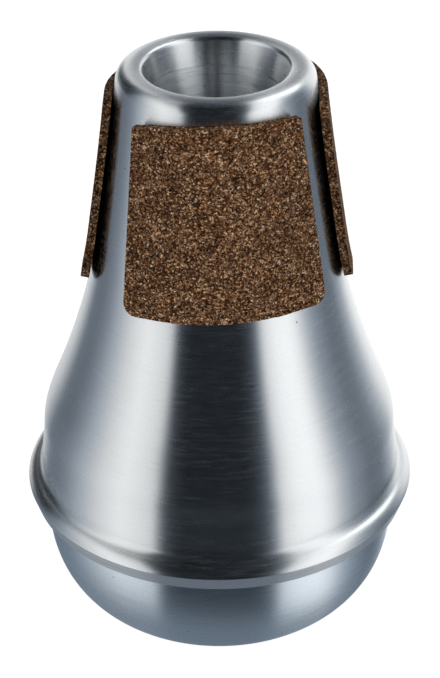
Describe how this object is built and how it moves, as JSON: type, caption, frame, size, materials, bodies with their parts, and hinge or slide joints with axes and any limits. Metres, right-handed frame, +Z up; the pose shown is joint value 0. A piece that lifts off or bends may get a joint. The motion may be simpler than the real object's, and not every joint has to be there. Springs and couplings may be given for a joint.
{
  "type": "trombone mute",
  "caption": "Straight trombone mute: spun aluminium cone with a turned-in lip, rolled bead, closed bowl end and curved cork pads round the neck",
  "frame": {"origin": "centre of the flat foot, on the axis of the turned shells", "axes": "+Z up the axis from the closed end to the open mouth; -Y towards the front pad; +X to the right as seen from the front"},
  "size_m": [0.1246, 0.1246, 0.1893],
  "materials": {
    "brushed_aluminium": "circumferentially brushed",
    "throat_aluminium": "spun, with turning marks",
    "bowl_aluminium": "satin",
    "granulated_cork": "granulated cork sheet, unsealed"
  },
  "bodies": {
    "root": {"body_shell": "brushed_aluminium", "throat_sleeve": "throat_aluminium", "end_bowl": "bowl_aluminium", "cork_pad_front": "granulated_cork", "cork_pad_right": "granulated_cork", "cork_pad_left": "granulated_cork"}
  },
  "joints": []
}
